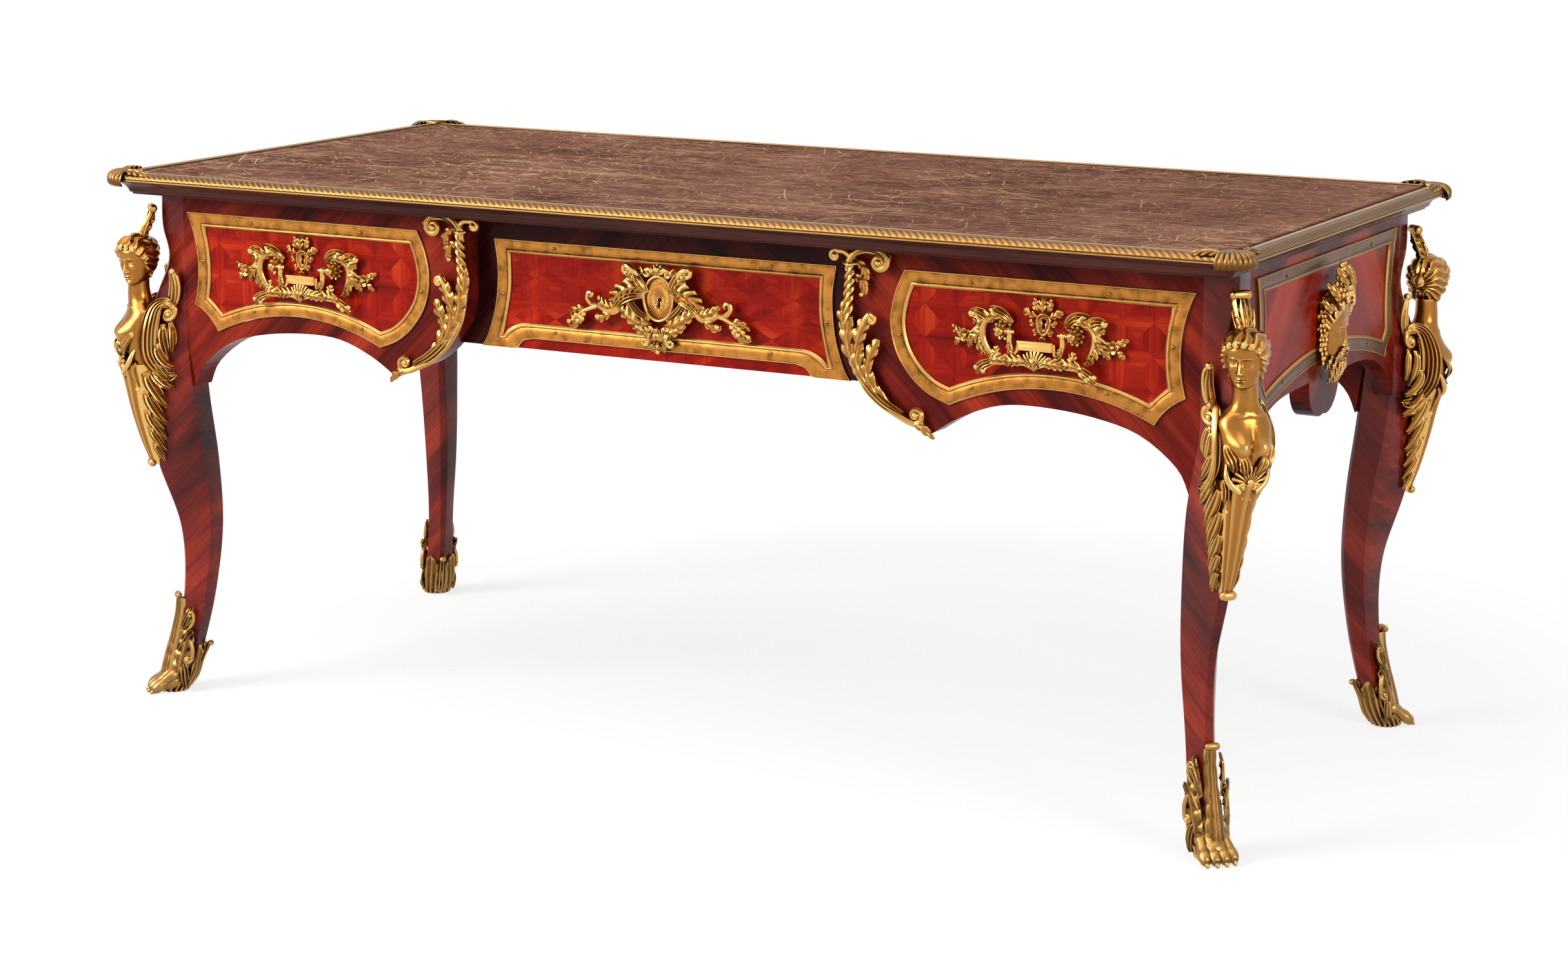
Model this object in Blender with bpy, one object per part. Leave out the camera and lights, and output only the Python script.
# A bureau plat: a writing table on four cabriole legs, with three frieze drawers,
# gilt bronze mounts and a leather-lined top. Metres, +Z up, the front faces -Y,
# and the origin is on the floor under the middle of the table.
import math

import bmesh
import bpy
from mathutils import Matrix, Vector

# Overall sizes
TOP_WIDTH = 1.745
TOP_DEPTH = 0.845
HEIGHT = 0.785
TOP_THICKNESS = 0.033
TOP_CORNER = 0.032
SIDE_OVERHANG = 0.0365
FRONT_OVERHANG = 0.0795

# Running clearances
GAP = 0.0003
DRAWER_CLEARANCE = 0.001
BOLT_CLEARANCE = 0.0008
PIVOT_CLEARANCE = 0.0005

# Top board, its leather and its gilt edge
MOULDING_WIDTH = 0.0246
MOULDING_HEIGHT = 0.012
LEATHER_THICKNESS = 0.002
LEATHER_SINK = 0.0012
EDGE_OVOLO = 0.024
CLASP_REACH = 0.048
CLASP_PROUD = 0.012
CLASP_HEIGHT = 0.015
CLASP_LIFT = 0.0015

# Carcass boards
LEG_POST = 0.044
APRON_THICKNESS = 0.040
SIDE_THICKNESS = 0.028
CENTRE_BREAK = 0.026
BLOCK_HALF = 0.297
PARTITION_THICKNESS = 0.018
PARTITION_SET = 0.005
RUNNER_HEIGHT = 0.018
RUNNER_LAP = 0.016
APRON_FOOT = 0.466
LOBE_HALF = 0.060
LOBE_DROP = 0.052
LEG_START = 0.045

# Drawers
SIDE_RAIL = 0.0285
SIDE_DRAWER_SET = 0.084
SIDE_DRAWER_MARGIN = 0.054
SIDE_DRAWER_HEIGHT = 0.1705
SIDE_ARCH_RISE = 0.0325
CENTRE_RAIL = 0.035
CENTRE_STILE = 0.030
CENTRE_DRAWER_FLARE = 0.0215
CENTRE_DRAWER_HEIGHT = 0.151
DRAWER_FRONT = 0.022
DRAWER_LENGTH = 0.480
BOX_BOARD = 0.010
BOX_BOTTOM = 0.006
BOX_HEIGHT = 0.122
BOX_DROP = 0.008
BOTTOM_LIFT = 0.002
SIDE_BOX_INSET = 0.013
SIDE_BOX_OUTSET = 0.026
CENTRE_BOX_INSET = 0.017

# Mounts
FRAME_WIDTH = 0.020
FRAME_THICKNESS = 0.004
SIDE_FRAME_HALF = 0.277
SIDE_FRAME_TOP = 0.015
KEYHOLE_RADIUS = 0.003
KEYHOLE_DROP = 0.009
SIDE_KEY_OFFSET = -0.0035
SIDE_KEY_DROP = 0.0515
CENTRE_KEY_DROP = 0.065
ESCUTCHEON_THICKNESS = 0.004
CARTOUCHE_THICKNESS = 0.009
HANDLE_OFFSET = -0.009
PIVOT_HALF = 0.050
PIVOT_DROP = 0.0665
PIVOT_PROUD = 0.013
ROSETTE_RADIUS = 0.0125
ROSETTE_HEIGHT = 0.020
SPRAY_THICKNESS = 0.006
PIN_RADIUS = 0.0025
BAIL_THICKNESS = 0.008
MASK_HEIGHT = 0.158
MASK_TOP_DROP = 0.027

# Locks
LOCK_WIDTH = 0.060
LOCK_HEIGHT = 0.056
LOCK_DEPTH = 0.012
LOCK_DROP = 0.0043
BOLT_WIDTH = 0.022
BOLT_HEIGHT = 0.024
BOLT_DEPTH = 0.006
BOLT_THROW = 0.011

CURVE_STEPS = 4
CORNER_STEPS = 5
LEAST_RADIUS = 0.002
LEG_STEPS = 22
ARC_STEPS = 8
CORNER_LIMIT = 0.3
FRONT, RIGHT, BACK = 0.0, math.pi / 2, math.pi

CARCASS_TOP = HEIGHT - TOP_THICKNESS
HALF_WIDTH = TOP_WIDTH / 2 - SIDE_OVERHANG
HALF_DEPTH = TOP_DEPTH / 2 - FRONT_OVERHANG
CENTRE_FACE = HALF_DEPTH - CENTRE_BREAK
CENTRE_DRAWER_HALF = BLOCK_HALF - CENTRE_STILE
SIDE_DRAWER_INNER = BLOCK_HALF + SIDE_DRAWER_SET
SIDE_DRAWER_OUTER = HALF_WIDTH - SIDE_DRAWER_MARGIN
SIDE_MIDDLE = (SIDE_DRAWER_INNER + SIDE_DRAWER_OUTER) / 2
SIDE_KEY_X = SIDE_MIDDLE + SIDE_KEY_OFFSET
HANDLE_X = SIDE_MIDDLE + HANDLE_OFFSET
SIDE_DRAWER_TOP = CARCASS_TOP - SIDE_RAIL
CENTRE_DRAWER_TOP = CARCASS_TOP - CENTRE_RAIL
PARTITION_INNER = BLOCK_HALF + PARTITION_SET
PARTITION_OUTER = PARTITION_INNER + PARTITION_THICKNESS

# The leg's section at a few heights, each a share of the leg's length. The distances
# run inwards from the carcass corner: the front arris, the far edge of the front face,
# the inner corner, and how far the leg's own diagonal is set towards the front.
LEG_ROWS = (
    (0.030, 0.006, -0.022, 0.037, -0.010, 0.032, 0.015),
    (0.199, 0.024, 0.000, 0.054, 0.010, 0.056, 0.015),
    (0.332, 0.022, 0.000, 0.065, 0.014, 0.066, 0.015),
    (0.465, 0.002, -0.023, 0.064, 0.007, 0.064, 0.015),
    (0.598, -0.013, -0.035, 0.056, -0.005, 0.055, 0.013),
    (0.731, -0.013, -0.022, 0.044, 0.000, 0.044, 0.000),
    (0.798, -0.002, -0.007, 0.044, 0.000, 0.044, 0.000),
    (0.871, 0.014, 0.004, 0.044, 0.000, 0.044, 0.000),
    (0.931, 0.007, 0.000, 0.044, 0.000, 0.044, 0.000),
    (1.000, 0.007, 0.000, 0.044, 0.000, 0.044, 0.000),
)
LEG_POST_DRAWN = 0.044

FINISHES = {
    "kingwood": ((0.17, 0.035, 0.018), 0.28, 0.0),
    "parquetry": ((0.36, 0.045, 0.016), 0.25, 0.0),
    "dark_edge": ((0.07, 0.022, 0.016), 0.30, 0.0),
    "oak": ((0.42, 0.27, 0.13), 0.60, 0.0),
    "leather": ((0.13, 0.055, 0.040), 0.50, 0.0),
    "gilt_bronze": ((0.72, 0.44, 0.12), 0.28, 1.0),
    "steel": ((0.45, 0.44, 0.42), 0.40, 1.0),
}


def clear_scene():
    for obj in list(bpy.data.objects):
        bpy.data.objects.remove(obj)


def make_finishes():
    made = {}
    for name, (colour, roughness, metallic) in FINISHES.items():
        material = bpy.data.materials.new(name)
        material.use_nodes = True
        shader = material.node_tree.nodes["Principled BSDF"]
        shader.inputs["Base Color"].default_value = (*colour, 1.0)
        shader.inputs["Roughness"].default_value = roughness
        shader.inputs["Metallic"].default_value = metallic
        made[name] = material
    return made


def put(name, mesh, finish):
    obj = bpy.data.objects.new(name, mesh)
    mesh.materials.clear()
    mesh.materials.append(MATERIALS[finish])
    TABLE.objects.link(obj)
    return obj


def tidy(mesh):
    work = bmesh.new()
    work.from_mesh(mesh)
    bmesh.ops.remove_doubles(work, verts=work.verts, dist=1e-6)
    bmesh.ops.recalc_face_normals(work, faces=work.faces)
    work.to_mesh(mesh)
    work.free()
    return mesh


def evaluated(obj):
    # The object's finished mesh, in world space.
    bpy.context.view_layer.update()
    seen = obj.evaluated_get(bpy.context.evaluated_depsgraph_get())
    mesh = bpy.data.meshes.new_from_object(seen)
    mesh.transform(obj.matrix_world)
    return mesh


def settle(obj, finish):
    # A copy of the object with its modifiers and its place applied.
    name = obj.name
    mesh = tidy(evaluated(obj))
    bpy.data.objects.remove(obj)
    return put(name, mesh, finish)


def box(name, low, high, finish):
    work = bmesh.new()
    bmesh.ops.create_cube(work, size=1.0)
    low, high = Vector(low), Vector(high)
    bmesh.ops.scale(work, vec=high - low, verts=work.verts)
    bmesh.ops.translate(work, vec=(low + high) / 2, verts=work.verts)
    mesh = bpy.data.meshes.new(name)
    work.to_mesh(mesh)
    work.free()
    return put(name, mesh, finish)


def rod(name, start, end, radius, finish, sides=12):
    start, end = Vector(start), Vector(end)
    work = bmesh.new()
    turn = Vector((0, 0, 1)).rotation_difference(end - start).to_matrix().to_4x4()
    place = Matrix.Translation((start + end) / 2) @ turn
    bmesh.ops.create_cone(
        work,
        cap_ends=True,
        segments=sides,
        radius1=radius,
        radius2=radius,
        depth=(end - start).length,
        matrix=place,
    )
    mesh = bpy.data.meshes.new(name)
    work.to_mesh(mesh)
    work.free()
    return put(name, mesh, finish)


def loft(name, rings, finish, closed=False):
    # A skin over a row of rings with the same number of points. Its two ends have caps,
    # unless the last ring lies on the first and the row is closed.
    count = len(rings[0])
    points = [point for ring in rings for point in ring]
    faces = [tuple(range(count)), tuple(range(len(points) - count, len(points)))]
    faces = [] if closed else faces
    for row in range(len(rings) - 1):
        for column in range(count):
            here = row * count + column
            beside = row * count + (column + 1) % count
            faces.append((here, beside, beside + count, here + count))
    mesh = bpy.data.meshes.new(name)
    mesh.from_pydata(points, [], faces)
    return put(name, tidy(mesh), finish)


def plate(name, outlines, thickness, facing, back, finish):
    # A flat outline, with any holes, standing upright: its back lies at a distance
    # from the table's middle and its face looks to the front, right or back.
    curve = bpy.data.curves.new(name, "CURVE")
    curve.dimensions = "2D"
    curve.fill_mode = "BOTH"
    curve.extrude = thickness / 2
    for outline in outlines:
        spline = curve.splines.new("POLY")
        spline.points.add(len(outline) - 1)
        for point, (x, z) in zip(spline.points, outline):
            point.co = (x, z, 0.0, 1.0)
        spline.use_cyclic_u = True
    obj = bpy.data.objects.new(name, curve)
    TABLE.objects.link(obj)
    turn = Matrix.Rotation(facing, 4, "Z")
    lift = Matrix.Translation((0.0, -back - thickness / 2, 0.0))
    obj.matrix_world = turn @ lift @ Matrix.Rotation(math.pi / 2, 4, "X")
    return settle(obj, finish)


def boolean(obj, tool, operation, finish):
    step = obj.modifiers.new(operation.lower(), "BOOLEAN")
    step.operation = operation
    step.solver = "EXACT"
    step.object = tool
    made = settle(obj, finish)
    bpy.data.objects.remove(tool)
    return made


def cut(obj, tool, finish):
    return boolean(obj, tool, "DIFFERENCE", finish)


def unite(obj, tool, finish):
    return boolean(obj, tool, "UNION", finish)


def mirrored(source, name, axis, finish):
    mesh = evaluated(source)
    mesh.transform(Matrix.Scale(-1.0, 4, axis))
    mesh.flip_normals()
    return put(name, mesh, finish)


def four_corners(build, kind, finish):
    # The front right piece and its three mirrored fellows.
    first = build(kind + "_front_right")
    across, along = Vector((1, 0, 0)), Vector((0, 1, 0))
    second = mirrored(first, kind + "_front_left", across, finish)
    third = mirrored(first, kind + "_back_right", along, finish)
    fourth = mirrored(second, kind + "_back_left", along, finish)
    return [first, second, third, fourth]


def smooth(points, steps=CURVE_STEPS):
    # Points along a smooth curve through the given ones.
    ends = [points[0], *points, points[-1]]
    run = []
    for a, b, c, d in zip(ends, ends[1:], ends[2:], ends[3:]):
        a, b, c, d = (Vector(point) for point in (a, b, c, d))
        for step in range(steps):
            t = step / steps
            square = 2 * a - 5 * b + 4 * c - d
            cube = 3 * b - a - 3 * c + d
            run.append((2 * b + (c - a) * t + square * t * t + cube * t ** 3) / 2)
    run.append(Vector(points[-1]))
    return run


def arc(start, end, rise, steps=ARC_STEPS):
    # A circular arc that stands to the left of its chord by the rise.
    start, end = Vector(start), Vector(end)
    chord = end - start
    along = chord.normalized()
    left = Vector((-along.y, along.x)) * math.copysign(1.0, rise)
    height = abs(rise)
    radius = (chord.length ** 2 / 4 + height ** 2) / (2 * height)
    half = math.asin(chord.length / 2 / radius)
    run = []
    for step in range(steps + 1):
        angle = half * (2 * step / steps - 1)
        up = radius * math.cos(angle) - radius + height
        run.append((start + end) / 2 + along * radius * math.sin(angle) + left * up)
    return run


def outline(*runs):
    # One closed outline from runs of points, without repeated points.
    points = []
    for run in runs:
        for point in run:
            point = Vector(point)
            if not points or (point - points[-1]).length > 1e-5:
                points.append(point)
    if (points[0] - points[-1]).length < 1e-5:
        points.pop()
    return points


def flipped(points):
    # The same run of points on the other side of the middle line, end to start.
    return [Vector((-point[0], point[1])) for point in reversed(points)]


def inset(points, distance):
    # A closed outline that runs anticlockwise, moved inwards, with mitred corners.
    moved = []
    for index, here in enumerate(points):
        before = (here - points[index - 1]).normalized()
        after = (points[(index + 1) % len(points)] - here).normalized()
        normal = Vector((-after.y, after.x))
        mitre = (Vector((-before.y, before.x)) + normal).normalized()
        moved.append(here + mitre * distance / max(mitre.dot(normal), CORNER_LIMIT))
    return moved


def leg_row(height):
    # The leg's section values at a height, on smooth curves through the rows.
    share = height / CARCASS_TOP
    rows = LEG_ROWS
    last = len(rows) - 2
    spot = max([i for i in range(last + 1) if rows[i][0] <= share], default=0)
    low, high = rows[spot], rows[spot + 1]
    before, after = rows[max(spot - 1, 0)], rows[min(spot + 2, last + 1)]
    span = high[0] - low[0]
    t = (share - low[0]) / span
    values = []
    for a, b, c, d in zip(before[1:], low[1:], high[1:], after[1:]):
        leave = (c - a) / (high[0] - before[0]) * span
        arrive = (d - b) / (after[0] - low[0]) * span
        square = 3 * (c - b) - 2 * leave - arrive
        cube = 2 * (b - c) + leave + arrive
        values.append(b + leave * t + square * t * t + cube * t ** 3)
    return values


def leg_section(height):
    # Front right leg: its six corners in plan, anticlockwise from the front arris.
    arris_x, arris_y, edge_x, edge_y, inner, skew = leg_row(height)
    post = LEG_POST - LEG_POST_DRAWN
    edge_x, inner = edge_x + post, inner + post
    blunt = 0.12 * inner
    inwards = (
        (arris_x, arris_y),
        (arris_y + skew, arris_x - skew),
        (edge_y + skew, edge_x - skew),
        (inner - blunt, inner - skew),
        (inner, inner - blunt - skew),
        (edge_x, edge_y),
    )
    return [Vector((HALF_WIDTH - x, y - HALF_DEPTH)) for x, y in inwards]


def leg_levels(start, end):
    # Heights along a stretch of leg, an even number of steps to its whole length.
    step = CARCASS_TOP / LEG_STEPS
    between = [step * i for i in range(LEG_STEPS + 1)]
    return [start, *[z for z in between if start + step / 4 < z < end - step / 4], end]


def leg_solid(name, start, end, grow, finish):
    rings = []
    for height in leg_levels(start, end):
        section = inset(leg_section(height), -grow)
        rings.append([(point.x, point.y, height) for point in section])
    return loft(name, rings, finish)


def leg_cutter(start, end):
    return leg_solid("leg_cutter", start, end, GAP, "kingwood")


def leg_face(height):
    # The middle of the leg's blunt outer arris, and the way it looks.
    section = leg_section(height)
    middle = (section[0] + section[1]) / 2
    across = (section[1] - section[0]).normalized()
    return middle, Vector((across.y, -across.x))


def build_leg(name):
    return leg_solid(name, LEG_START + GAP, CARCASS_TOP, 0.0, "kingwood")


def block_edge(room=0.0):
    # The shaped edge of the side block, from the top down to its tip.
    top = CARCASS_TOP
    half = BLOCK_HALF - room
    curve = [
        (half, top - 0.122),
        (half + 0.009, top - 0.153),
        (half + 0.033, top - 0.187),
        (half + 0.062, top - 0.212),
        (half + 0.093, top - 0.227),
        (half + 0.125, top - 0.2405),
    ]
    return [Vector((half, top)), *smooth(curve)]


def leg_joint(height):
    # Where the front board meets the leg at a height.
    return HALF_WIDTH - leg_row(height)[2] - LEG_POST + LEG_POST_DRAWN - GAP


def side_drawer_outline():
    # The shaped front of the right-hand drawer, anticlockwise from its top inner corner.
    x, z = SIDE_DRAWER_INNER, SIDE_DRAWER_TOP
    inner = smooth([
        (x, z),
        (x - 0.013, z - 0.0305),
        (x - 0.0193, z - 0.0685),
        (x - 0.011, z - 0.1065),
        (x + 0.010, z - 0.1375),
        (x + 0.036, z - 0.1585),
        (x + 0.066, z - SIDE_DRAWER_HEIGHT),
    ])
    far = SIDE_DRAWER_OUTER
    foot = Vector((far - 0.050, z - SIDE_DRAWER_HEIGHT))
    elbow = Vector((far - 0.010, z - 0.1335))
    bottom = arc(inner[-1], foot, SIDE_ARCH_RISE)
    corner = arc(foot, elbow, 0.0045)
    side = arc(elbow, (far, z), 0.0125)
    return outline(inner, bottom, corner, side)


def apron_outline():
    # The right-hand front board, anticlockwise from its top inner corner.
    inner = block_edge()
    top = CARCASS_TOP
    tip = inner[-1]
    foot = (leg_joint(APRON_FOOT) - 0.001, APRON_FOOT)
    span = foot[0] - tip.x
    arch = smooth([
        tip,
        (tip.x + 0.115 * span, top - 0.215),
        (tip.x + 0.265 * span, top - 0.195),
        (tip.x + 0.427 * span, top - 0.1915),
        (tip.x + 0.628 * span, top - 0.198),
        (tip.x + 0.807 * span, top - 0.215),
        (tip.x + 0.950 * span, top - 0.252),
        foot,
    ])
    side = [(leg_joint(level), level) for level in leg_levels(APRON_FOOT, top)]
    return outline(inner, arch, side)


def centre_side():
    # The right-hand edge of the centre drawer, upwards.
    x, z = CENTRE_DRAWER_HALF, CENTRE_DRAWER_TOP
    return smooth([
        (x + CENTRE_DRAWER_FLARE, z - CENTRE_DRAWER_HEIGHT),
        (x + 0.012, z - 0.134),
        (x + 0.001, z - 0.101),
        (x - 0.004, z - 0.0695),
        (x - 0.005, z - 0.037),
        (x, z),
    ])


def centre_outline():
    side = centre_side()
    return outline(flipped(side), side)


def keyhole(x, z):
    # A round hole over a slot that widens downwards.
    radius = KEYHOLE_RADIUS
    points = []
    for step in range(9):
        angle = math.radians(-60 + 37.5 * step)
        points.append(Vector((x + radius * math.cos(angle), z + radius * math.sin(angle))))
    points.append(Vector((x - radius * 0.75, z - KEYHOLE_DROP)))
    points.append(Vector((x + radius * 0.75, z - KEYHOLE_DROP)))
    return points


def build_legs():
    four_corners(build_leg, "leg", "kingwood")


def bolt_line(face):
    # The distance from the table's middle to the middle of a lock, behind a drawer front.
    return face - DRAWER_FRONT - GAP - LOCK_DEPTH / 2


def mortise(x, face, top):
    # The pocket above a drawer that takes its lock's bolt.
    half = BOLT_WIDTH / 2 + BOLT_CLEARANCE
    deep = BOLT_DEPTH / 2 + BOLT_CLEARANCE
    middle = -bolt_line(face)
    reach = top - LOCK_DROP + BOLT_THROW + BOLT_CLEARANCE
    low = (x - half, middle - deep, top - 0.004)
    return box("mortise", low, (x + half, middle + deep, reach), "kingwood")


def build_front_boards():
    hole = inset(side_drawer_outline(), -DRAWER_CLEARANCE)
    back = HALF_DEPTH - APRON_THICKNESS
    outlines = [apron_outline(), hole]
    right = plate("front_apron_right", outlines, APRON_THICKNESS, FRONT, back, "kingwood")
    right = cut(right, mortise(SIDE_KEY_X, HALF_DEPTH, SIDE_DRAWER_TOP), "kingwood")
    mirrored(right, "front_apron_left", Vector((1, 0, 0)), "kingwood")
    edge = [point for point in block_edge(GAP) if point.y > foot_level()]
    side = [point + Vector((DRAWER_CLEARANCE, 0)) for point in centre_side()]
    side[-1].y += DRAWER_CLEARANCE
    half = [Vector((surround_reach(), foot_level())), *reversed(edge)]
    other = [Vector((-point.x, point.y)) for point in half]
    down = list(reversed(side))
    shape = outline(half, reversed(other), flipped(down), down)
    back = CENTRE_FACE - APRON_THICKNESS
    frame = plate("centre_surround", [shape], APRON_THICKNESS, FRONT, back, "kingwood")
    cut(frame, mortise(0.0, CENTRE_FACE, CENTRE_DRAWER_TOP), "kingwood")


def foot_level():
    return CENTRE_DRAWER_TOP - CENTRE_DRAWER_HEIGHT


def surround_reach():
    # How far the stile reaches under the block's shaped edge, at its foot.
    edge = block_edge(GAP)
    for above, below in zip(edge, edge[1:]):
        if below.y <= foot_level() < above.y:
            share = (above.y - foot_level()) / (above.y - below.y)
            return above.x + (below.x - above.x) * share
    return edge[-1].x


def build_back_boards():
    back = HALF_DEPTH - APRON_THICKNESS
    board = apron_outline()
    left = plate("back_apron_left", [board], APRON_THICKNESS, BACK, back, "kingwood")
    mirrored(left, "back_apron_right", Vector((1, 0, 0)), "kingwood")
    edge = [point for point in block_edge(GAP) if point.y > foot_level()]
    half = [Vector((surround_reach(), foot_level())), *reversed(edge)]
    shape = outline(half, flipped(half))
    back = CENTRE_FACE - APRON_THICKNESS
    plate("back_centre_panel", [shape], APRON_THICKNESS, BACK, back, "kingwood")


def side_outline():
    # The shaped board between a front and a back leg, with a lobe hanging in the middle.
    top = CARCASS_TOP
    post = HALF_DEPTH - LEG_POST - GAP
    foot = APRON_FOOT + 0.030
    half = [
        *arc((0.0, top - 0.18 - LOBE_DROP), (LOBE_HALF, top - 0.18), -0.35 * LOBE_HALF),
        *smooth([
            (LOBE_HALF + 0.008, top - 0.181),
            (post * 0.55, top - 0.184),
            (post * 0.75, top - 0.197),
            (post - 0.030, top - 0.222),
            (post, foot),
        ]),
        Vector((post, top)),
    ]
    return outline(half, flipped(half))


def build_side_panels():
    back = HALF_WIDTH - SIDE_THICKNESS
    shape = [side_outline()]
    right = plate("side_panel_right", shape, SIDE_THICKNESS, RIGHT, back, "kingwood")
    mirrored(right, "side_panel_left", Vector((1, 0, 0)), "kingwood")


def side_box():
    # The right-hand drawer's box in plan and height, without its front.
    top = SIDE_DRAWER_TOP - BOX_DROP
    low = SIDE_DRAWER_INNER + SIDE_BOX_INSET
    high = SIDE_DRAWER_OUTER - SIDE_BOX_OUTSET
    return low, high, top - BOX_HEIGHT, top


def centre_box():
    half = CENTRE_DRAWER_HALF - CENTRE_BOX_INSET
    top = CENTRE_DRAWER_TOP - BOX_DROP
    return -half, half, top - BOX_HEIGHT, top


def build_inside():
    # Upright partitions with a ledge on each side, and a runner by the outer legs.
    front = CENTRE_FACE - APRON_THICKNESS - GAP
    shape = ((PARTITION_INNER, -front, foot_level()), (PARTITION_OUTER, front, CARCASS_TOP))
    right = box("partition_right", *shape, "oak")
    lap = PARTITION_THICKNESS / 2
    middle = PARTITION_INNER + lap
    reach = HALF_DEPTH - APRON_THICKNESS - GAP
    x0, x1, z0, _ = side_box()
    top = z0 - GAP
    low, high = (middle, -front, top - RUNNER_HEIGHT), (x0 + RUNNER_LAP, front, top)
    right = unite(right, box("outer_ledge", low, high, "oak"), "oak")
    post = HALF_WIDTH - LEG_POST - GAP
    low, high = (x1 - RUNNER_LAP, -reach, top - RUNNER_HEIGHT), (post, reach, top)
    runner = box("runner_right", low, high, "oak")
    mirrored(runner, "runner_left", Vector((1, 0, 0)), "oak")
    _, x1, z0, _ = centre_box()
    top = z0 - GAP
    low = (x1 - RUNNER_LAP, -front, top - RUNNER_HEIGHT)
    right = unite(right, box("inner_ledge", low, (middle, front, top), "oak"), "oak")
    mirrored(right, "partition_left", Vector((1, 0, 0)), "oak")


def top_ring(back):
    # The top's outline in plan, drawn in by a distance, with its corners rounded.
    radius = max(TOP_CORNER - back, LEAST_RADIUS)
    x = TOP_WIDTH / 2 - back - radius
    y = TOP_DEPTH / 2 - back - radius
    ring = []
    for quarter, (way_x, way_y) in enumerate(((1, 1), (-1, 1), (-1, -1), (1, -1))):
        for step in range(CORNER_STEPS + 1):
            angle = math.pi / 2 * (quarter + step / CORNER_STEPS)
            turn = Vector((math.cos(angle), math.sin(angle))) * radius
            ring.append(Vector((way_x * x, way_y * y)) + turn)
    return ring


def level_ring(back, z):
    return [(point.x, point.y, z) for point in top_ring(back)]


def build_top():
    shelf = HEIGHT - MOULDING_HEIGHT - GAP
    base = CARCASS_TOP + GAP
    seat = HEIGHT - LEATHER_SINK - LEATHER_THICKNESS - GAP
    inner = MOULDING_WIDTH + GAP
    rise = shelf - base
    profile = [(EDGE_OVOLO * 1.2, base), (EDGE_OVOLO, base + rise * 0.2)]
    for step in range(1, 5):
        angle = math.radians(22.5 * step)
        drop = EDGE_OVOLO * 0.9 * math.sin(angle)
        profile.append((EDGE_OVOLO - drop, shelf - rise * 0.8 * math.cos(angle)))
    profile += [(inner, shelf), (inner, seat)]
    loft("top_board", [level_ring(back, z) for back, z in profile], "dark_edge")
    bottom = seat + GAP
    leather = [level_ring(inner, bottom), level_ring(inner, bottom + LEATHER_THICKNESS)]
    loft("leather_lining", leather, "leather")
    build_edge()


def build_edge():
    # One gilt strip round the top in a rounded section, with a shell on each corner.
    low = HEIGHT - MOULDING_HEIGHT
    section = [
        (0.0, low + 0.002),
        (0.0, low + 0.006),
        (0.003, HEIGHT - 0.001),
        (0.010, HEIGHT),
        (MOULDING_WIDTH, HEIGHT - 0.001),
        (MOULDING_WIDTH, low),
        (0.002, low),
    ]
    rows = [level_ring(back, z) for back, z in section]
    rings = [list(ring) for ring in zip(*rows)]
    edge = loft("edge_moulding", [*rings, rings[0]], "gilt_bronze", closed=True)
    for clasp in four_corners(build_clasp, "clasp", "gilt_bronze"):
        edge = unite(edge, clasp, "gilt_bronze")


def build_clasp(name):
    # A shell over the corner that stands out most on its diagonal, domed towards its middle.
    low = HEIGHT - MOULDING_HEIGHT + CLASP_LIFT
    reach, inner = CLASP_REACH, MOULDING_WIDTH - CLASP_LIFT
    half = [(-reach, CLASP_PROUD * 0.1), (-TOP_CORNER * 1.1, CLASP_PROUD * 0.35)]
    for degrees in (75, 60):
        angle = math.radians(degrees)
        away = TOP_CORNER + CLASP_PROUD * math.sin(2 * angle)
        half.append((away * math.cos(angle) - TOP_CORNER, away * math.sin(angle) - TOP_CORNER))
    tip = (TOP_CORNER + CLASP_PROUD) * math.sqrt(0.5) - TOP_CORNER
    outer = half + [(tip, tip)] + [(y, x) for x, y in reversed(half)]
    bend = [(-inner, -reach), (-inner, -inner), (-reach, -inner)]
    plan = [Vector(point) for point in outer + bend]
    centre = Vector((-inner, -inner)) * 0.7
    corner = Vector((TOP_WIDTH / 2, TOP_DEPTH / 2))
    rings = []
    for z, shrink in ((low, 0.06), (low + CLASP_HEIGHT * 0.55, 0.0), (low + CLASP_HEIGHT, 0.40)):
        ring = []
        for index, point in enumerate(plan):
            fixed = index in (0, len(outer) - 1) or index > len(outer) - 1
            pulled = point if fixed else point.lerp(centre, shrink)
            ring.append((corner.x + pulled.x, -corner.y - pulled.y, z))
        rings.append(ring)
    return loft(name, rings, "gilt_bronze")


def pivot_height():
    return SIDE_DRAWER_TOP - PIVOT_DROP


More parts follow.
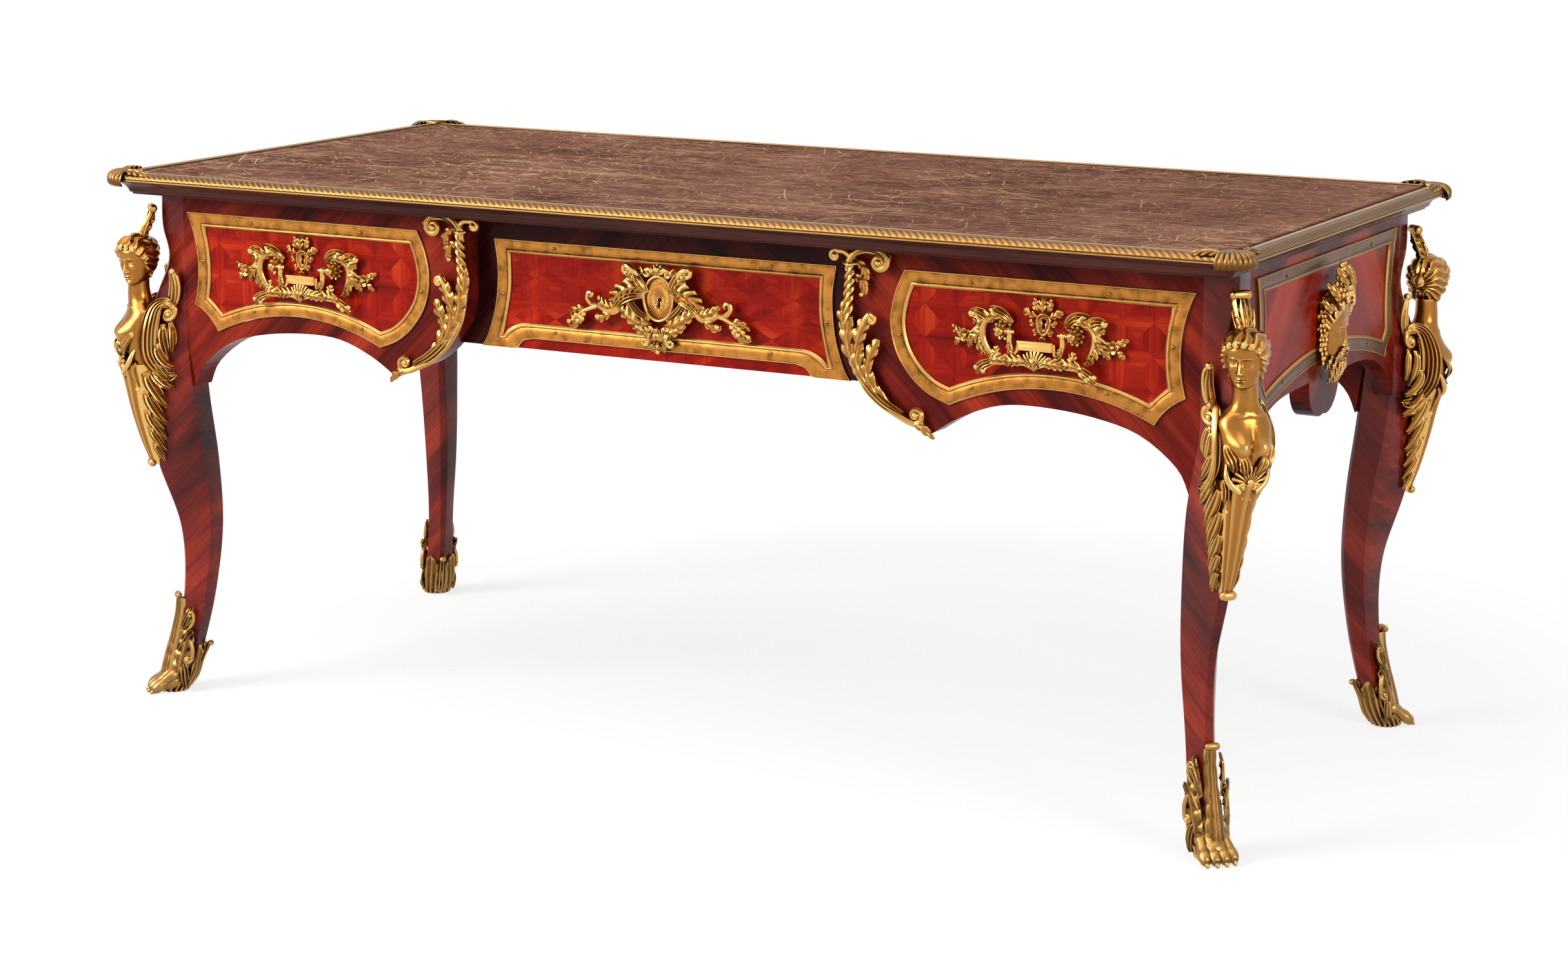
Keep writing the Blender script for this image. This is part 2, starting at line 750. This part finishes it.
def build_drawer(side, shape, face, box_sides, key, sign):
    # One drawer: its shaped front with a keyhole, and an open box of boards behind it.
    name = "drawer_" + side
    x0, x1, z0, z1 = box_sides
    key_x, key_z = key
    front_back = face - DRAWER_FRONT
    outlines = [shape, keyhole(key_x, key_z)]
    pieces = [plate(name + "_front", outlines, DRAWER_FRONT, FRONT, front_back, "parquetry")]
    start = -front_back + GAP
    end = start + DRAWER_LENGTH
    sides = box(name + "_box", (x0, start, z0), (x1, end, z1), "oak")
    low, high = x0 + BOX_BOARD, x1 - BOX_BOARD
    room = ((low, start - BOX_BOARD, z0 - BOX_BOARD), (high, end - BOX_BOARD, z1 + BOX_BOARD))
    pieces.append(cut(sides, box("room", *room, "oak"), "oak"))
    floor = z0 + BOTTOM_LIFT
    room = ((low + GAP, start, floor), (high - GAP, end - BOX_BOARD - GAP, floor + BOX_BOTTOM))
    pieces.append(box(name + "_bottom", *room, "oak"))
    pieces += build_lock(side, key_x, face, shape)
    if sign < 0:
        pieces = [swap(piece) for piece in pieces]
    slide = bpy.data.objects.new(name + "_slide", None)
    slide.location = (sign * (x0 + x1) / 2, -face, (z0 + z1) / 2)
    TABLE.objects.link(slide)
    hang(pieces, slide)
    return slide


def swap(piece):
    # The piece on the other side of the table, under the same name.
    name, finish = piece.name, piece.data.materials[0].name
    mesh = evaluated(piece)
    mesh.transform(Matrix.Scale(-1.0, 4, Vector((1, 0, 0))))
    mesh.flip_normals()
    bpy.data.objects.remove(piece)
    return put(name, mesh, finish)


def hang(pieces, carrier):
    bpy.context.view_layer.update()
    for piece in pieces:
        piece.parent = carrier
        piece.matrix_parent_inverse = carrier.matrix_world.inverted()


def build_lock(side, x, face, shape):
    # A lock behind the drawer front: its case, and the bolt that rises out of it.
    top = max(point.y for point in shape) - LOCK_DROP
    middle = -bolt_line(face)
    half = LOCK_DEPTH / 2
    low = (x - LOCK_WIDTH / 2, middle - half, top - LOCK_HEIGHT)
    case = box("lock_case_" + side, low, (x + LOCK_WIDTH / 2, middle + half, top), "steel")
    wide, deep = BOLT_WIDTH / 2, BOLT_DEPTH / 2
    room = GAP
    low = (x - wide - room, middle - deep - room, top - BOLT_HEIGHT - room)
    high = (x + wide + room, middle + deep + room, top + LOCK_HEIGHT)
    case = cut(case, box("channel", low, high, "steel"), "steel")
    low = (x - wide, middle - deep, top - BOLT_HEIGHT)
    bolt = box("lock_bolt_" + side, low, (x + wide, middle + deep, top), "steel")
    return [case, bolt]


def build_drawers():
    key = (SIDE_KEY_X, SIDE_DRAWER_TOP - SIDE_KEY_DROP)
    carriers = {}
    for side, sign in (("right", 1), ("left", -1)):
        shape = side_drawer_outline()
        carriers[side] = build_drawer(side, shape, HALF_DEPTH, side_box(), key, sign)
    key = (0.0, CENTRE_DRAWER_TOP - CENTRE_KEY_DROP)
    shape = centre_outline()
    carriers["centre"] = build_drawer("centre", shape, CENTRE_FACE, centre_box(), key, 1)
    return carriers


def centre_frame_outlines():
    # The centre drawer's gilt frame: straight band with two shaped feet.
    side = centre_side()
    foot_z = foot_level()
    band = foot_z + 0.016
    foot_x = side[0].x - 0.0495
    under = smooth([
        (foot_x - 0.033, band),
        (foot_x - 0.017, band - 0.004),
        (foot_x - 0.007, foot_z + 0.002),
        (foot_x, foot_z),
    ])
    outer = outline(flipped(side), flipped(under), under, side)
    top = CENTRE_DRAWER_TOP - FRAME_WIDTH + 0.002
    x = CENTRE_DRAWER_HALF - 0.025
    over = smooth([
        (foot_x - 0.034, band + FRAME_WIDTH),
        (foot_x - 0.013, band + FRAME_WIDTH - 0.001),
        (foot_x + 0.006, band + 0.011),
        (foot_x + 0.017, band),
    ])
    rise = smooth([
        (foot_x + 0.017, band),
        (x + 0.006, band + 0.035),
        (x, band + 0.070),
        (x, top),
    ])
    inner = outline(flipped(rise), flipped(over), over, rise)
    return [outer, inner]


def side_frame_outlines():
    # The gilt frame on a side panel, arched below and drawn in at the sides.
    top = CARCASS_TOP - SIDE_FRAME_TOP
    half = SIDE_FRAME_HALF
    foot = Vector((half - 0.030, top - 0.176))
    elbow = Vector((half - 0.006, top - 0.146))
    bottom = arc((-foot.x, foot.y), foot, 0.036, 2 * ARC_STEPS)
    side = outline(arc(foot, elbow, 0.004), arc(elbow, (half, top), 0.012))
    outer = outline(flipped(side), bottom, side)
    return [outer, inset(outer, FRAME_WIDTH)]


def build_frames(carriers):
    shape = side_drawer_outline()
    rings = [shape, inset(shape, FRAME_WIDTH)]
    thick = FRAME_THICKNESS
    back = HALF_DEPTH + GAP
    right = plate("frame_right", rings, thick, FRONT, back, "gilt_bronze")
    left = mirrored(right, "frame_left", Vector((1, 0, 0)), "gilt_bronze")
    rings = centre_frame_outlines()
    centre = plate("frame_centre", rings, thick, FRONT, CENTRE_FACE + GAP, "gilt_bronze")
    for side, piece in (("right", right), ("left", left), ("centre", centre)):
        hang([piece], carriers[side])
    rings = side_frame_outlines()
    one = plate("side_frame_right", rings, thick, RIGHT, HALF_WIDTH + GAP, "gilt_bronze")
    mirrored(one, "side_frame_left", Vector((1, 0, 0)), "gilt_bronze")


def build_escutcheons(carriers):
    # A small leafy plate round each side keyhole.
    z = SIDE_DRAWER_TOP - SIDE_KEY_DROP
    half = [
        (0.0, -0.021), (0.010, -0.017), (0.014, -0.006), (0.012, 0.004), (0.026, 0.009),
        (0.024, 0.014), (0.012, 0.014), (0.010, 0.023), (0.005, 0.030), (0.0, 0.031),
    ]
    half = [Vector(point) for point in half]
    ring = [point + Vector((SIDE_KEY_X, z)) for point in outline(half, flipped(half))]
    outlines = [ring, keyhole(SIDE_KEY_X, z)]
    thick = ESCUTCHEON_THICKNESS
    back = HALF_DEPTH + GAP
    right = plate("escutcheon_right", outlines, thick, FRONT, back, "gilt_bronze")
    left = mirrored(right, "escutcheon_left", Vector((1, 0, 0)), "gilt_bronze")
    hang([right], carriers["right"])
    hang([left], carriers["left"])


def build_cartouche(carriers):
    # The pierced centre mount: an oval key plate between leafy branches.
    z = CENTRE_DRAWER_TOP - CENTRE_KEY_DROP
    half = [
        (0.0, -0.067), (0.014, -0.064), (0.022, -0.055), (0.016, -0.046), (0.036, -0.037),
        (0.062, -0.022), (0.090, -0.026), (0.118, -0.042), (0.143, -0.047), (0.140, -0.034),
        (0.114, -0.018), (0.106, 0.001), (0.098, -0.003), (0.094, -0.014), (0.076, -0.004),
        (0.062, 0.013), (0.045, 0.024), (0.050, 0.036), (0.060, 0.046), (0.050, 0.055),
        (0.036, 0.048), (0.022, 0.045), (0.014, 0.054), (0.0, 0.057),
    ]
    half = [Vector(point) for point in half]
    ring = [point + Vector((0.0, z)) for point in outline(half, flipped(half))]
    outlines = [ring, keyhole(0.0, z)]
    back = CENTRE_FACE + FRAME_THICKNESS + 2 * GAP
    thick = CARTOUCHE_THICKNESS
    front = plate("cartouche", outlines, thick, FRONT, back, "gilt_bronze")
    hang([front], carriers["centre"])


def build_handles(carriers):
    z = pivot_height()
    axis = HALF_DEPTH + PIVOT_PROUD
    for side, sign in (("right", 1), ("left", -1)):
        middle = sign * HANDLE_X
        for way, place in ((-sign, "inner"), (sign, "outer")):
            name = "handle_mount_" + side + "_" + place
            hang([handle_mount(name, middle, z, axis, way)], carriers[side])
        pivot = bpy.data.objects.new("bail_" + side + "_pivot", None)
        pivot.location = (middle, -axis, z)
        TABLE.objects.link(pivot)
        hang([build_bail("bail_" + side, middle, z, axis)], pivot)
        hang([pivot], carriers[side])


def handle_mount(name, middle, z, axis, way):
    # A rosette with a leafy spray beside it, bored from its inner side for the bail's pin.
    x = middle + way * PIVOT_HALF
    spray = [
        (-0.006, -0.008), (0.010, -0.012), (0.030, -0.006), (0.046, -0.010), (0.060, -0.004),
        (0.070, 0.012), (0.056, 0.010), (0.044, 0.026), (0.030, 0.018), (0.008, 0.022),
        (-0.006, 0.010),
    ]
    points = [Vector((x + way * px, z + pz)) for px, pz in spray]
    points = points if way > 0 else points[::-1]
    face = HALF_DEPTH + GAP
    leaf = plate(name, [points], SPRAY_THICKNESS, FRONT, face, "gilt_bronze")
    boss = rod("boss", (x, -face, z), (x, -face - ROSETTE_HEIGHT, z), ROSETTE_RADIUS, "gilt_bronze", 16)
    mount = unite(leaf, boss, "gilt_bronze")
    inner = x - way * (ROSETTE_RADIUS + 0.002)
    bore = PIN_RADIUS + PIVOT_CLEARANCE
    hole = rod("bore", (inner, -axis, z), (x + way * 0.005, -axis, z), bore, "gilt_bronze")
    return cut(mount, hole, "gilt_bronze")


def build_bail(name, middle, z, axis):
    # The drop handle: two lugs on pins, a leafy bar with turned-out feet, a thumb plate.
    lug = PIVOT_HALF - ROSETTE_RADIUS - 0.001
    half = [
        (0.0, -0.047), (0.030, -0.046), (0.055, -0.045), (0.075, -0.053), (0.082, -0.049),
        (0.070, -0.037), (0.052, -0.033), (lug + 0.005, -0.026), (lug, -0.016), (lug, 0.005),
        (lug - 0.0085, 0.005), (lug - 0.0085, -0.008), (0.030, -0.025), (0.0235, -0.029),
        (0.0235, -0.012), (0.0, -0.012),
    ]
    half = [Vector(point) for point in half]
    points = [point + Vector((middle, z)) for point in outline(half, flipped(half))]
    back = axis - BAIL_THICKNESS / 2
    bail = plate(name, [points], BAIL_THICKNESS, FRONT, back, "gilt_bronze")
    for way in (-1, 1):
        start = (middle + way * (lug - 0.004), -axis, z)
        end = (middle + way * (PIVOT_HALF + 0.004), -axis, z)
        bail = unite(bail, rod("pin", start, end, PIN_RADIUS, "gilt_bronze"), "gilt_bronze")
    return bail


def build_console(name):
    # A scroll on the block's shaped edge: a volute at the top, a stem, leaves, and a curl.
    edge = block_edge()
    top = CARCASS_TOP
    hub = Vector((BLOCK_HALF + 0.053, top - 0.019))
    route = []
    for step in range(9):
        angle = math.radians(-250 + 45 * step)
        reach = 0.003 + 0.0011 * step
        route.append((hub + reach * Vector((math.cos(angle), math.sin(angle))), 0.0030))
    x = BLOCK_HALF
    route += [
        (Vector((x + 0.034, top - 0.007)), 0.0045),
        (Vector((x + 0.016, top - 0.009)), 0.0060),
        (Vector((x + 0.006, top - 0.026)), 0.0065),
        (Vector((x + 0.006, top - 0.080)), 0.0065),
    ]
    lower = [point for point in edge if point.y < top - 0.09]
    for index, point in enumerate(lower[::3]):
        swell = 0.010 - 0.0045 * index / (len(lower) / 3)
        route.append((point + Vector((0.004, 0.010)), swell))
    curve = bpy.data.curves.new(name, "CURVE")
    curve.dimensions = "3D"
    curve.bevel_depth = 1.0
    curve.bevel_resolution = 1
    curve.use_fill_caps = True
    spline = curve.splines.new("POLY")
    spline.points.add(len(route) - 1)
    for point, (spot, radius) in zip(spline.points, route):
        point.co = (spot.x, -HALF_DEPTH - radius - GAP, spot.y, 1.0)
        point.radius = radius
    obj = bpy.data.objects.new(name, curve)
    TABLE.objects.link(obj)
    return settle(obj, "gilt_bronze")


def build_consoles():
    right = build_console("console_mount_right")
    mirrored(right, "console_mount_left", Vector((1, 0, 0)), "gilt_bronze")


# Corner figures: height from the floor as a share of the leg's length, how far the
# middle stands off the leg's arris, and the half depth and half width there.
FIGURE_ROWS = (
    (0.468, 0.006, 0.006, 0.008),
    (0.495, 0.005, 0.008, 0.012),
    (0.560, 0.006, 0.011, 0.018),
    (0.640, 0.008, 0.015, 0.026),
    (0.668, 0.012, 0.020, 0.033),
    (0.705, 0.018, 0.028, 0.038),
    (0.738, 0.019, 0.027, 0.040),
    (0.768, 0.018, 0.020, 0.042),
    (0.784, 0.024, 0.017, 0.024),
    (0.804, 0.033, 0.014, 0.015),
    (0.824, 0.042, 0.022, 0.019),
    (0.868, 0.047, 0.029, 0.026),
    (0.904, 0.045, 0.025, 0.024),
    (0.924, 0.036, 0.013, 0.014),
    (0.951, 0.026, 0.010, 0.016),
    (0.978, 0.016, 0.010, 0.011),
)


def build_figure(name):
    # A bust on a tapering stem, set against the leg's outer arris.
    rings = []
    for share, middle, depth, width in FIGURE_ROWS:
        height = share * CARCASS_TOP
        spot, way = leg_face(height)
        across = Vector((-way.y, way.x))
        ring = []
        for step in range(12):
            angle = math.tau * step / 12
            away = middle + depth * math.cos(angle)
            point = spot + way * away + across * width * math.sin(angle)
            ring.append((point.x, point.y, height))
        rings.append(ring)
    figure = loft(name, rings, "gilt_bronze")
    low, high = FIGURE_ROWS[0][0] - 0.02, FIGURE_ROWS[-1][0] + 0.02
    cutter = leg_cutter(low * CARCASS_TOP, high * CARCASS_TOP)
    return cut(figure, cutter, "gilt_bronze")


# Feet: height, wall over the leg, and how far the toes and the heel move forward.
SABOT_ROWS = (
    (0.000, 0.001, 0.032, 0.016),
    (0.014, 0.003, 0.036, 0.013),
    (0.030, 0.004, 0.027, 0.006),
    (0.052, 0.005, 0.010, 0.000),
    (0.078, 0.004, 0.001, 0.000),
)
SABOT_FRONT = 0.150
SABOT_CREST = 0.082
SABOT_WALL = 0.004
SABOT_TAPER = 0.018


def sabot_ring(height, wall, toe=0.0, heel=0.0, lift=0.0):
    # The leg's outline grown by a wall, its toe side drawn forward and lifted.
    level = max(height, LEG_START)
    middle, way = leg_face(level)
    ring = []
    section = inset(leg_section(level), -wall)
    for index, here in enumerate(section):
        beside = section[(index + 1) % len(section)]
        for point in (here, (here + beside) / 2):
            ahead = 1.0 + (point - middle).dot(way) / SABOT_TAPER
            ahead = min(max(ahead, 0.0), 1.0)
            spot = point + way * (toe * ahead + heel * (1.0 - ahead))
            ring.append((spot.x, spot.y, height + lift * ahead))
    return ring


def build_sabot(name):
    # A paw under the leg, with a tongue that climbs the leg's outer arris.
    rings = [sabot_ring(*row) for row in SABOT_ROWS]
    climb = SABOT_FRONT - SABOT_CREST
    low = sabot_ring(SABOT_CREST, SABOT_WALL, lift=climb)
    high = sabot_ring(SABOT_FRONT, SABOT_WALL)
    tongue = []
    for low_point, high_point in zip(low, high):
        share = (low_point[2] - SABOT_CREST) / climb
        plan = Vector(low_point[:2]).lerp(Vector(high_point[:2]), share)
        tongue.append((plan.x, plan.y, low_point[2]))
    sabot = loft(name, [*rings, tongue], "gilt_bronze")
    cutter = leg_cutter(LEG_START, SABOT_FRONT + SABOT_TAPER)
    return cut(sabot, cutter, "gilt_bronze")


# Side masks: share of the height from the chin up, how far it stands out, half width.
MASK_ROWS = (
    (0.00, 0.006, 0.012),
    (0.12, 0.018, 0.024),
    (0.30, 0.028, 0.034),
    (0.50, 0.032, 0.042),
    (0.72, 0.030, 0.047),
    (0.88, 0.020, 0.040),
    (1.00, 0.007, 0.020),
)


def build_masks():
    # A head in high relief in the middle of each side, seated on the side frame.
    base = HALF_WIDTH + FRAME_THICKNESS + 2 * GAP
    chin = CARCASS_TOP - MASK_TOP_DROP - MASK_HEIGHT
    rings = []
    for share, proud, width in MASK_ROWS:
        ring = []
        for step in range(9):
            angle = math.radians(-90 + 22.5 * step)
            x, y = base + proud * math.cos(angle), width * math.sin(angle)
            ring.append((x, y, chin + MASK_HEIGHT * share))
        rings.append(ring)
    right = loft("mask_right", rings, "gilt_bronze")
    mirrored(right, "mask_left", Vector((1, 0, 0)), "gilt_bronze")


clear_scene()
TABLE = bpy.data.collections.new("bureau_plat")
bpy.context.scene.collection.children.link(TABLE)
MATERIALS = make_finishes()
build_legs()
build_front_boards()
build_back_boards()
build_side_panels()
build_inside()
build_top()
drawer_slides = build_drawers()
build_frames(drawer_slides)
build_escutcheons(drawer_slides)
build_cartouche(drawer_slides)
build_handles(drawer_slides)
build_consoles()
four_corners(build_figure, "corner_figure", "gilt_bronze")
four_corners(build_sabot, "sabot", "gilt_bronze")
build_masks()
